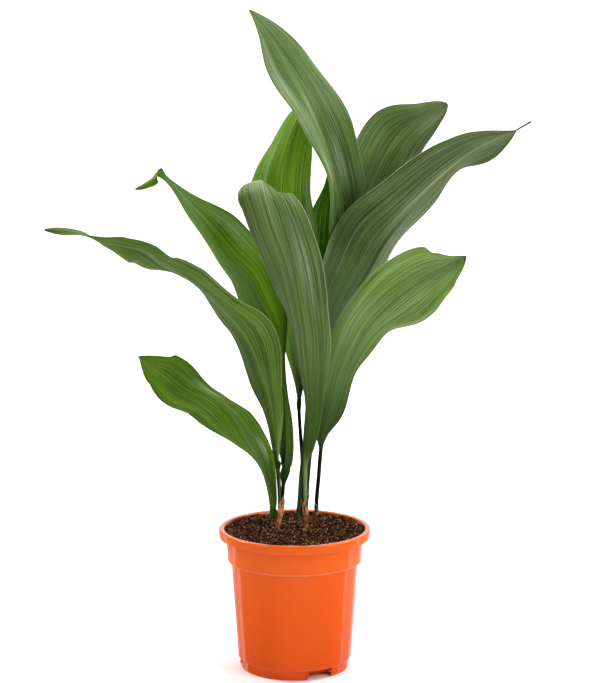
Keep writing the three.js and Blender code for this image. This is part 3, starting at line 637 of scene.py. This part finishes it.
HUSKS = {
    "sheath_left": dict(
        leaf="leaf_left_upper", low=8, high=58, flare=2.4, turn=(0.7, 0.3, -0.2),
        reach=(0.9, 1.1, 1.0, 0.3), teeth=(0.3, 0.12, 0.0, 0.22), tones=(0x6A2E0A, 0xC06A22, 0xE0A468)),
    "sheath_front": dict(
        leaf="leaf_front", low=8, high=55, flare=1.8, turn=(0.0, 0.1, 0.35),
        reach=(0.7, 0.8, 1.4, 0.7), teeth=(0.0, 0.16, 0.04, 0.2, 0.1), tones=(0x5E220A, 0xB05C26, 0xD6A880)),
    "scale_back": dict(
        leaf="leaf_right_low", low=12, high=33, flare=0.8, turn=(0.0, 0.2, 0.5),
        reach=(1.4, 1.2, 0.5), teeth=(0.3, 0.0, 0.2), tones=(0x3A2416, 0x8A6248, 0xBC9E88)),
    "scale_tip": dict(
        leaf="leaf_front", low=44, high=57, flare=2.2, turn=(-1.1, -1.2, -1.25),
        reach=(0.4, 0.4, 0.12), teeth=(0.0, 0.0), tones=(0x10160E, 0x223024, 0x4A5A50)),
}
HUSK_ROWS = 60
HUSK_COLUMNS = 37
HUSK_INNER_GAP = 0.3
HUSK_THICKNESS = 0.3
HUSK_FRAY = 0.16


def make_husk(number, name, husk):
    midrib = Midrib(LEAVES[husk["leaf"]])
    chance = np.random.default_rng(40 + number)
    q = np.linspace(0.0, 1.0, HUSK_COLUMNS)
    tooth = q * (len(husk["teeth"]) - 1)
    cut = np.interp(tooth, np.arange(len(husk["teeth"])), husk["teeth"]) + chance.uniform(0.0, 0.05, HUSK_COLUMNS)
    fibre = chance.uniform(-HUSK_FRAY, HUSK_FRAY, HUSK_COLUMNS)
    front = np.zeros((HUSK_ROWS, HUSK_COLUMNS, 3))
    back = np.zeros((HUSK_ROWS, HUSK_COLUMNS, 3))
    for column in range(HUSK_COLUMNS):
        t = np.linspace(0.0, 1.0 - cut[column], HUSK_ROWS)
        point, side, out = midrib.frame(husk["low"] + t * (husk["high"] - husk["low"]))
        angle = math.pi / 2 + evenly(husk["turn"], t) + evenly(husk["reach"], t) * (1 - 2 * q[column])
        inner = STEM_RADIUS + HUSK_INNER_GAP + husk["flare"] * t ** 2 + (fibre[column] + HUSK_FRAY) * (0.4 + t)
        inner = inner + 0.25 * np.sin(9.0 * t + 5.0 * q[column]) * t
        ring = np.cos(angle)[:, None] * side + np.sin(angle)[:, None] * out
        front[:, column] = point + ring * (inner + HUSK_THICKNESS)[:, None]
        back[:, column] = point + ring * inner[:, None]
    along = np.linspace(0.0, 1.0, HUSK_ROWS)
    uv = np.stack(np.meshgrid(along, q, indexing="ij")[::-1], -1)
    piece = closed_sheet(name + "_torn", front, back, uv, dry_husk("dried_" + name, *husk["tones"]))
    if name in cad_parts:
        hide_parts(name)
    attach(piece, "root")


for husk_number, (husk_name, husk_spec) in enumerate(HUSKS.items()):
    make_husk(husk_number, husk_name, husk_spec)


# The pot: a turned wall with softly rounded edges, notched at the foot and drilled in the floor.

POT_AROUND = 180
POT_PROFILE = [
    (0, 3.9), (40, 3.9), (58.4, 3.9), (58.9, 3.8), (59.2, 3.5), (59.3, 3.0), (59.3, 0.5), (59.5, 0.12), (59.9, 0),
    (60.8, 0), (61.15, 0.12), (61.3, 0.45), (61.3, 2), (61.45, 10.4), (61.6, 10.9), (62.0, 11.25), (62.5, 11.45),
    (63.3, 11.55), (63.75, 11.75), (64.0, 12.2), (64.06, 13), (67.7, 67), (71.3, 120.6), (71.45, 121.6),
    (71.7, 122.2), (72.2, 122.5), (74.3, 122.55), (74.9, 122.6), (75.35, 122.9), (75.55, 123.4), (75.5, 123.95),
    (75.3, 124.4), (75.22, 125.0), (76.3, 137), (77.5, 150), (77.9, 154), (78.4, 155.6), (79.2, 156.8),
    (80.4, 157.55), (83.2, 157.6), (83.7, 157.3), (83.9, 156.8),
    (83.9, 150.1), (84.05, 149.75), (84.35, 149.6), (84.8, 149.65), (85.1, 149.9), (85.2, 150.3), (85.2, 156.9),
    (85.05, 157.8), (84.6, 158.5), (83.9, 158.9), (83.0, 159), (80.8, 159), (79.9, 158.8), (79.3, 158.4),
    (79.0, 157.8), (78.3, 156.2), (77.1, 154.8), (76.5, 153), (76.2, 149.6), (73.8, 125.4), (73.6, 124.8),
    (73.2, 124.5), (71.2, 124.2), (70.6, 124.0), (70.2, 123.6), (70.05, 122.8), (66.4, 68), (62.75, 13.8),
    (62.6, 13.2), (62.2, 12.9), (60.8, 12.6), (60.2, 12.3), (59.9, 11.6), (59.4, 8), (59.3, 5.5), (40, 5.5),
    (0, 5.5),
]
NOTCH_ANGLES = (-62, 58, 178)
# At each notch, a block joined on and then one cut out: inner and outer radius, width, bottom and top.
POCKET = (49.7, 60.6, 32.6, 5.0, 11.3)
NOTCH = (51.0, 64.0, 30.0, -2.0, 10.0)
SHARP_TURN = 40.0
DRAIN_HOLES = 6
DRAIN_CIRCLE = 36
DRAIN_RADIUS = 4


def turn_profile(name, profile, around):
    """A closed mesh turned about Z from (radius, height) pairs in millimetres that start and end on the axis."""
    angles = np.arange(around) * 2 * math.pi / around
    rings = profile[1:-1]
    points = [(0.0, 0.0, profile[0][1] * MM), (0.0, 0.0, profile[-1][1] * MM)]
    for radius, height in rings:
        points += [(radius * MM * math.cos(a), radius * MM * math.sin(a), height * MM) for a in angles]
    faces = []
    last = 2 + (len(rings) - 1) * around
    for k in range(around):
        n = (k + 1) % around
        faces.append((0, 2 + n, 2 + k))
        faces.append((1, last + k, last + n))
        for ring in range(len(rings) - 1):
            low = 2 + ring * around
            high = low + around
            faces.append((low + k, low + n, high + n, high + k))
    return mesh_object(name, points, faces)


def block(name, angle, inner, outer, width, low, high):
    """A closed block pointing outward from the axis."""
    corners = []
    for z in (low, high):
        for radius, across in ((inner, -width / 2), (outer, -width / 2), (outer, width / 2), (inner, width / 2)):
            turn = math.radians(angle)
            corners.append((MM * (radius * math.cos(turn) - across * math.sin(turn)),
                            MM * (radius * math.sin(turn) + across * math.cos(turn)), MM * z))
    return mesh_object(name, corners, [
        (3, 2, 1, 0), (4, 5, 6, 7), (0, 1, 5, 4), (1, 2, 6, 5), (2, 3, 7, 6), (3, 0, 4, 7)])


def drain_rod(name, turn):
    rod = turn_profile(name, [(0, 1), (DRAIN_RADIUS, 1), (DRAIN_RADIUS, 8), (0, 8)], 24)
    x, y = DRAIN_CIRCLE * math.cos(turn), DRAIN_CIRCLE * math.sin(turn)
    rod.data.transform(Matrix.Translation((x * MM, y * MM, 0)))
    return rod


def settle_modifiers(piece, tools):
    """Turns a piece's modifiers into its plain mesh and removes the tools."""
    bpy.context.view_layer.update()
    evaluated = piece.evaluated_get(bpy.context.evaluated_depsgraph_get())
    mesh = bpy.data.meshes.new_from_object(evaluated)
    piece.modifiers.clear()
    piece.data = mesh
    for tool in tools:
        bpy.data.objects.remove(tool)


def make_pot():
    pot = turn_profile("moulded_pot", POT_PROFILE, POT_AROUND)
    tools = [(block("pocket", angle, *POCKET), "UNION") for angle in NOTCH_ANGLES]
    tools += [(block("notch", angle, *NOTCH), "DIFFERENCE") for angle in NOTCH_ANGLES]
    tools += [(drain_rod("drain", 2 * math.pi * k / DRAIN_HOLES), "DIFFERENCE") for k in range(DRAIN_HOLES)]
    for tool, operation in tools:
        modifier = pot.modifiers.new("carve", "BOOLEAN")
        modifier.operation = operation
        modifier.solver = "EXACT"
        modifier.object = tool
    settle_modifiers(pot, [tool for tool, operation in tools])
    mesh = pot.data
    mesh.materials.clear()
    mesh.materials.append(moulded_plastic())
    # Smooth faces, with sharp edges where the surface turns by more than the angle.
    mesh.polygons.foreach_set("use_smooth", [True] * len(mesh.polygons))
    mesh.set_sharp_from_angle(angle=math.radians(SHARP_TURN))
    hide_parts("pot")
    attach(pot, "root")


make_pot()


# The soil: one closed body whose top is crumbly, with loose crumbs and fibres strewn on it.

SOIL_RINGS = 74
SOIL_AROUND = 300
SOIL_EDGE_RADIUS = 77.9
SOIL_TOP = 158.4
SOIL_FALL = 1.7
SOIL_BOTTOM = 11.8
SOIL_SIDES = [
    (76.6, 154.6), (76.1, 153), (75.9, 149.6), (73.4, 125.1), (73.0, 124.7), (70.4, 124.4), (69.8, 123.4),
    (62.4, 13.8), (62.0, 13.3), (60.2, 13.0), (59.0, 12.4), (59.0, SOIL_BOTTOM)]


def soil_height(x, y):
    """Height of the soil's top in millimetres, mounded a little and rough."""
    radius = math.hypot(x, y)
    mound = SOIL_TOP - SOIL_FALL * (radius / SOIL_EDGE_RADIUS) ** 2
    place = Vector((x, y, 0.0))
    rough = 1.5 * noise.noise(place / 13.0) + 1.3 * noise.noise(place / 5.0 + Vector((7, 3, 1)))
    grit = 0.9 * noise.noise(place / 1.9 + Vector((2, 9, 4)))
    calm = 1.0 - 0.6 * (radius / SOIL_EDGE_RADIUS) ** 8
    return mound + (rough + grit) * calm


def ring_points(radius, around, height_at):
    """Points round Z; height_at gives each one's height from its x and y, in millimetres."""
    points = []
    for k in range(around):
        turn = 2 * math.pi * k / around
        x, y = radius * math.cos(turn), radius * math.sin(turn)
        points.append((x * MM, y * MM, height_at(x, y) * MM))
    return points


def soil_shape(name, reach, steps, around, sides=(), bottom=None, material=None):
    """The soil's top out to a reach, in rings; sides and a bottom's height close it to a body."""
    rings = [ring_points(reach * k / steps, around, soil_height) for k in range(1, steps + 1)]
    rings += [ring_points(radius, around, lambda x, y: height) for radius, height in sides]
    points = [(0.0, 0.0, soil_height(0.0, 0.0) * MM)] + [point for ring in rings for point in ring]
    end = len(points) - around
    faces = []
    for k in range(around):
        n = (k + 1) % around
        faces.append((0, 1 + k, 1 + n))
        for low in range(1, end, around):
            faces.append((low + k, low + around + k, low + around + n, low + n))
        if bottom:
            faces.append((end + k, len(points), end + n))
    if bottom:
        points.append((0.0, 0.0, bottom * MM))
    return mesh_object(name, points, faces, material)


def make_soil():
    soil = soil_shape(
        "peat_body", SOIL_EDGE_RADIUS, SOIL_RINGS, SOIL_AROUND, SOIL_SIDES, SOIL_BOTTOM,
        potting_peat("damp_milled_peat", 0x0C0603, 0x26140A, 0x5A3A24))
    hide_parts("soil")
    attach(soil, "root")


make_soil()


# Loose bits on the soil, scattered by Geometry Nodes over a disc that follows its top.

SCATTER_RADIUS = 76.4
SCATTER_RINGS = 30
SCATTER_AROUND = 90


def crumb_shape(tree):
    """An irregular lump of 20 faces, about 1 unit in radius."""
    ball = add_node(tree, "GeometryNodeMeshIcoSphere", {"Radius": 1.0, "Subdivisions": 1})
    push = add_node(tree, "ShaderNodeTexNoise", {"Scale": 1.3, "Detail": 0.0})
    offset = add_node(tree, "ShaderNodeVectorMath", {
        0: push.outputs["Color"], 1: (-0.5, -0.5, -0.5)}, operation="ADD")
    strong = add_node(tree, "ShaderNodeVectorMath", {0: offset.outputs[0], "Scale": 1.8}, operation="SCALE")
    return add_node(tree, "GeometryNodeSetPosition", {
        "Geometry": ball.outputs["Mesh"], "Offset": strong.outputs[0]}).outputs[0]


def fibre_shape(tree):
    """A bent thread 2 units long with three sides."""
    path = add_node(tree, "GeometryNodeCurveQuadraticBezier", {
        "Resolution": 5, "Start": (-1.0, 0.0, -0.05), "Middle": (0.0, 0.7, 0.5), "End": (1.0, 0.0, 0.0)})
    round_section = add_node(tree, "GeometryNodeCurvePrimitiveCircle", {"Resolution": 3, "Radius": 0.07})
    return add_node(tree, "GeometryNodeCurveToMesh", {
        "Curve": path.outputs[0], "Profile Curve": round_section.outputs[0], "Fill Caps": True}).outputs[0]


def scatter_tree(name, shape_of, material):
    """Copies of one small shape on random points of a surface, each turned, sized and toned at random."""
    tree = bpy.data.node_groups.new(name, "GeometryNodeTree")
    for label, kind in (
            ("Surface", "NodeSocketGeometry"), ("Density", "NodeSocketFloat"), ("Seed", "NodeSocketInt"),
            ("Smallest", "NodeSocketVector"), ("Largest", "NodeSocketVector"), ("Tilt", "NodeSocketVector")):
        tree.interface.new_socket(label, in_out="INPUT", socket_type=kind)
    tree.interface.new_socket("Bits", in_out="OUTPUT", socket_type="NodeSocketGeometry")
    given = add_node(tree, "NodeGroupInput").outputs
    points = add_node(tree, "GeometryNodeDistributePointsOnFaces", {
        "Mesh": given["Surface"], "Density": given["Density"], "Seed": given["Seed"]})
    lowest_turn = add_node(tree, "ShaderNodeVectorMath", {0: given["Tilt"], "Scale": -1.0}, operation="SCALE")
    turn = add_node(tree, "FunctionNodeRandomValue", {
        0: lowest_turn.outputs[0], 1: given["Tilt"], "Seed": given["Seed"]}, data_type="FLOAT_VECTOR")
    size = add_node(tree, "FunctionNodeRandomValue", {
        0: given["Smallest"], 1: given["Largest"], "Seed": 77}, data_type="FLOAT_VECTOR")
    copies = add_node(tree, "GeometryNodeInstanceOnPoints", {
        "Points": points.outputs["Points"], "Instance": shape_of(tree),
        "Rotation": turn.outputs[0], "Scale": size.outputs[0]})
    tone = add_node(tree, "FunctionNodeRandomValue", {2: 0.0, 3: 0.5, "Seed": 5}, data_type="FLOAT")
    toned = add_node(tree, "GeometryNodeStoreNamedAttribute", {
        "Geometry": copies.outputs[0], "Name": "tone", "Value": tone.outputs[1]},
        data_type="FLOAT", domain="INSTANCE")
    real = add_node(tree, "GeometryNodeRealizeInstances", {"Geometry": toned.outputs[0]})
    finished = add_node(tree, "GeometryNodeSetMaterial", {"Geometry": real.outputs[0], "Material": material})
    add_node(tree, "NodeGroupOutput", {0: finished.outputs[0]})
    return tree


def scatter(name, shape_of, material, density, seed, smallest, largest, tilt):
    """One piece of loose bits; sizes in millimetres, density in bits a square metre."""
    piece = soil_shape(name, SCATTER_RADIUS, SCATTER_RINGS, SCATTER_AROUND)
    tree = scatter_tree(name, shape_of, material)
    modifier = piece.modifiers.new("scatter", "NODES")
    modifier.node_group = tree
    values = {
        "Density": float(density), "Seed": seed, "Smallest": [MM * v for v in smallest],
        "Largest": [MM * v for v in largest], "Tilt": list(tilt)}
    for item in tree.interface.items_tree:
        if item.name in values:
            modifier[item.identifier] = values[item.name]
    settle_modifiers(piece, [])
    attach(piece, "root")


HALF_TURN = math.pi
scatter("peat_crumbs", crumb_shape,
        loose_bits("milled_peat_crumbs", [(0.0, 0x0E0704), (0.3, 0x321A0E), (0.6, 0x7E5234)], 0.95),
        density=110000, seed=3, smallest=(0.7, 0.6, 0.5), largest=(2.4, 2.0, 1.5), tilt=(HALF_TURN,) * 3)
scatter("bark_bits", crumb_shape,
        loose_bits("shredded_pine_bark", [(0.0, 0x6A3A1C), (0.3, 0xAC7244), (0.6, 0xDCB48A)], 0.85),
        density=50000, seed=11, smallest=(0.6, 0.4, 0.3), largest=(2.2, 1.2, 0.8), tilt=(HALF_TURN,) * 3)
scatter("peat_fibres", fibre_shape,
        loose_bits("peat_root_fibres", [(0.0, 0x5A351E), (0.3, 0xA06C44), (0.6, 0xD0A47C)], 0.85),
        density=30000, seed=23, smallest=(1.4, 1.4, 1.4), largest=(4.0, 3.2, 3.2), tilt=(0.35, 0.35, HALF_TURN))


# The rhizome under the soil keeps its CAD shape.

rhizome = bpy.data.objects["rhizome"]
for rhizome_slot in rhizome.material_slots:
    rhizome_slot.material = woody_rhizome()


# Floor and light.

FLOOR_REACH = 6.0
FLOOR_FRONT = -5.0
FLOOR_BACK = 4.6
FLOOR_RISE = 5.0
FLOOR_BEND = 1.5
FLOOR_STEPS = 24

# Area lamps: place, width and height, in metres, power in watts and the point that the lamp is turned to.
SOFTBOXES = {
    "softbox_left": ((-1.7, -1.3, 2.1), (0.9, 1.5), 19.5, (0.0, 0.0, 0.4)),
    "softbox_right": ((1.8, -1.2, 1.5), (0.8, 1.5), 29.0, (0.0, 0.0, 0.4)),
    "softbox_top": ((0.2, 0.4, 2.8), (1.6, 1.6), 28.0, (0.0, 0.1, 0.0)),
    "backdrop_left": ((-2.2, 0.9, 2.6), (1.2, 1.2), 150.0, (-0.6, 4.5, 0.4)),
    "backdrop_right": ((2.2, 0.9, 2.6), (1.2, 1.2), 150.0, (0.6, 4.5, 0.4)),
}


def make_floor():
    """A paper sweep: flat under the plant, then bent up behind it. In metres."""
    profile = [(FLOOR_FRONT, 0.0), (FLOOR_BACK - FLOOR_BEND, 0.0)]
    for k in range(1, FLOOR_STEPS + 1):
        turn = math.pi / 2 * k / FLOOR_STEPS
        forward, up = FLOOR_BEND * math.sin(turn), FLOOR_BEND * (1 - math.cos(turn))
        profile.append((FLOOR_BACK - FLOOR_BEND + forward, up))
    profile.append((FLOOR_BACK, FLOOR_RISE))
    points = [(x, y, z) for y, z in profile for x in (-FLOOR_REACH, FLOOR_REACH)]
    faces = [(2 * k, 2 * k + 1, 2 * k + 3, 2 * k + 2) for k in range(len(profile) - 1)]
    material, tree, place = new_material("matt_white_paper_sweep")
    mottle = add_node(tree, "ShaderNodeTexNoise", {"Vector": place, "Scale": 3.0})
    shade = add_node(tree, "ShaderNodeValToRGB", {"Fac": mottle.outputs["Fac"]}, stops=[
        (0.3, 0xFAFAFA), (0.7, 0xFDFDFD)]).outputs["Color"]
    close_material(tree, {"Base Color": shade, "Roughness": 0.9})
    floor = mesh_object("white_floor", points, faces, material)
    floor.visible_glossy = False


def add_softbox(name, place, size, power, aim):
    lamp = bpy.data.lights.new(name, "AREA")
    lamp.shape = "RECTANGLE"
    lamp.size, lamp.size_y = size
    lamp.energy = power
    holder = new_object(name, lamp)
    holder.location = place
    holder.rotation_euler = (Vector(aim) - Vector(place)).to_track_quat("-Z", "Y").to_euler()


def light_scene():
    world = bpy.data.worlds.new("studio_white")
    world.use_nodes = True
    tree = world.node_tree
    tree.nodes.clear()
    # A panel behind the plant, turned 8 degrees to the right, bright at its ends and its middle; a bright ground;
    # and a dim room in front.
    direction = add_node(tree, "ShaderNodeTexCoord").outputs["Generated"]
    level = add_node(tree, "ShaderNodeVectorMath", {0: direction, 1: (1.0, 1.0, 0.0)}, operation="MULTIPLY")
    compass = add_node(tree, "ShaderNodeVectorMath", {0: level.outputs[0]}, operation="NORMALIZE")
    facing = add_node(tree, "ShaderNodeVectorMath", {
        0: compass.outputs[0], 1: (0.14, 0.99, 0.0)}, operation="DOT_PRODUCT")
    strips = add_node(tree, "ShaderNodeValToRGB", {"Fac": facing.outputs["Value"]}, stops=[
        (0.4, 0.1), (0.45, 1.0), (0.5, 1.0), (0.58, 0.36), (0.86, 0.36), (0.97, 0.85)])
    panel = add_node(tree, "ShaderNodeMath", {0: strips.outputs["Color"], 1: 1.6}, operation="MULTIPLY")
    down = add_node(tree, "ShaderNodeSeparateXYZ", {"Vector": direction}).outputs["Z"]
    ground = add_node(tree, "ShaderNodeMapRange", {
        "Value": down, "From Min": -0.38, "From Max": -0.6, "To Max": 0.8})
    brighter = add_node(tree, "ShaderNodeMath", {0: panel.outputs[0], 1: ground.outputs[0]}, operation="MAXIMUM")
    # Past the paper's edge the room is pale to look at, though it lights the plant dimly.
    straight = add_node(tree, "ShaderNodeLightPath").outputs["Is Camera Ray"]
    seen = add_node(tree, "ShaderNodeMix", {0: straight, 2: brighter.outputs[0], 3: 0.75}, data_type="FLOAT")
    glow = add_node(tree, "ShaderNodeBackground", {
        "Color": (1.0, 1.0, 1.0, 1.0), "Strength": seen.outputs[0]})
    add_node(tree, "ShaderNodeOutputWorld", {"Surface": glow.outputs[0]})
    bpy.context.scene.world = world
    for name, box in SOFTBOXES.items():
        add_softbox(name, *box)
    bpy.context.scene.view_settings.view_transform = "Standard"
    bpy.context.scene.view_settings.look = "None"


make_floor()
light_scene()
